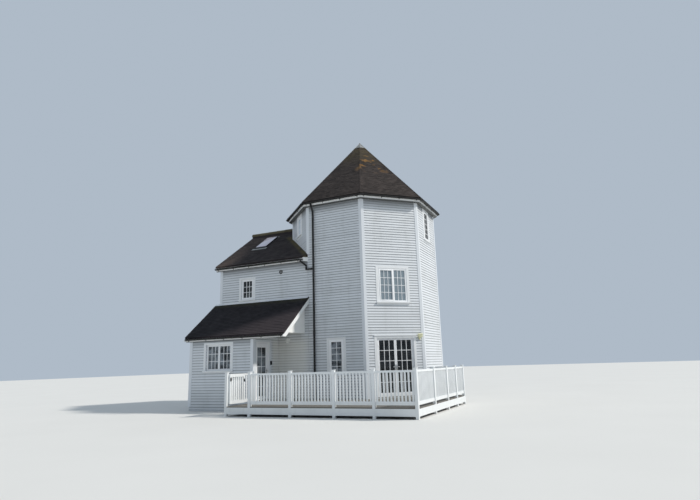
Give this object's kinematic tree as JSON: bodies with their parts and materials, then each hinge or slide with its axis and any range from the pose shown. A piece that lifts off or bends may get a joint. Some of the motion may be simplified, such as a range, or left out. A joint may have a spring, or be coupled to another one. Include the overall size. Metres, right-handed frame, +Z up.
{
  "type": "oast house",
  "caption": "Weatherboarded oast house: octagonal tower under a tiled pyramid roof, gabled wing, lean-to with a porch, and a fenced deck with a gate",
  "frame": {"origin": "on the tower's axis at ground level", "axes": "+X along the front wall to the right, -Y out of the front wall, +Z up"},
  "size_m": [9.884, 9.435, 11.482],
  "materials": {
    "white_boards": "painted softwood weatherboards",
    "concrete": "plain floor slab",
    "floor_timber": "plain boards",
    "roof_tiles": "dark clay plain tiles with lichen",
    "lead": "weathered lead",
    "white_trim": "painted smooth",
    "black_gutter": "black rainwater goods",
    "skylight_metal": "grey coated",
    "white_joinery": "smooth white",
    "window_glass": "sealed clear units",
    "grey_deck": "weathered boards",
    "white_fence": "painted",
    "cream_lamp": "moulded"
  },
  "bodies": {
    "root": {"tower_wall_front": "white_boards", "tower_wall_door_left": "white_boards", "tower_wall_door_right": "white_boards", "tower_wall_door_over": "white_boards", "tower_wall_right": "white_boards", "tower_wall_back_right": "white_boards", "tower_wall_back": "white_boards", "tower_wall_back_left": "white_boards", "tower_wall_left": "white_boards", "tower_wall_front_left": "white_boards", "wing_wall_front": "white_boards", "wing_wall_gable": "white_boards", "wing_wall_back": "white_boards", "porch_wall": "white_boards", "lean_to_wall_front": "white_boards", "lean_to_wall_left": "white_boards", "lean_to_wall_right": "white_boards", "lean_to_wall_door_over": "white_boards", "ground_slab": "concrete", "tower_floor_first": "floor_timber", "tower_floor_second": "floor_timber", "wing_floor_first": "floor_timber", "tower_roof": "roof_tiles", "wing_roof_front": "roof_tiles", "wing_roof_back": "roof_tiles", "wing_ridge": "roof_tiles", "lean_to_roof": "roof_tiles", "tower_cap": "lead", "tower_eaves": "white_trim", "wing_eaves": "white_trim", "lean_to_eaves": "white_trim", "porch_ceiling": "white_trim", "outer_trim": "white_trim", "tower_gutter": "black_gutter", "downpipe": "black_gutter", "wing_gutter": "black_gutter", "lean_to_gutter": "black_gutter", "wall_vent": "black_gutter", "key_safe": "black_gutter", "skylight": "skylight_metal", "window_frames": "white_joinery", "front_door_frame": "white_joinery", "french_door_frame": "white_joinery", "window_glass": "window_glass", "deck": "grey_deck", "deck_skirt": "white_fence", "fence_posts": "white_fence", "fence_front": "white_fence", "fence_left": "white_fence", "fence_right": "white_fence", "fence_back": "white_fence", "wall_lamps": "cream_lamp"},
    "front_leaf": {"front_door": "white_joinery", "front_door_glass": "window_glass"},
    "french_leaf_left": {"french_door_left": "white_joinery", "french_glass_left": "window_glass"},
    "french_leaf_right": {"french_door_right": "white_joinery", "french_glass_right": "window_glass"},
    "gate_leaf": {"gate": "white_fence"}
  },
  "joints": [
    {"name": "front_door_hinge", "type": "hinge", "parent": "root", "child": "front_leaf", "pos_m": [-2.648, -4.392, 1.4], "axis": [0, 0, 1], "range_deg": [0, 90]},
    {"name": "french_door_left_hinge", "type": "hinge", "parent": "root", "child": "french_leaf_left", "pos_m": [1.53654, -2.52932, 1.4], "axis": [0, 0, -1], "range_deg": [0, 90]},
    {"name": "french_door_right_hinge", "type": "hinge", "parent": "root", "child": "french_leaf_right", "pos_m": [2.52932, -1.53654, 1.4], "axis": [0, 0, 1], "range_deg": [0, 90]},
    {"name": "gate_hinge", "type": "hinge", "parent": "root", "child": "gate_leaf", "pos_m": [-2.389, -6.168, 0.85], "axis": [0, 0, 1], "range_deg": [-90, 0]}
  ]
}
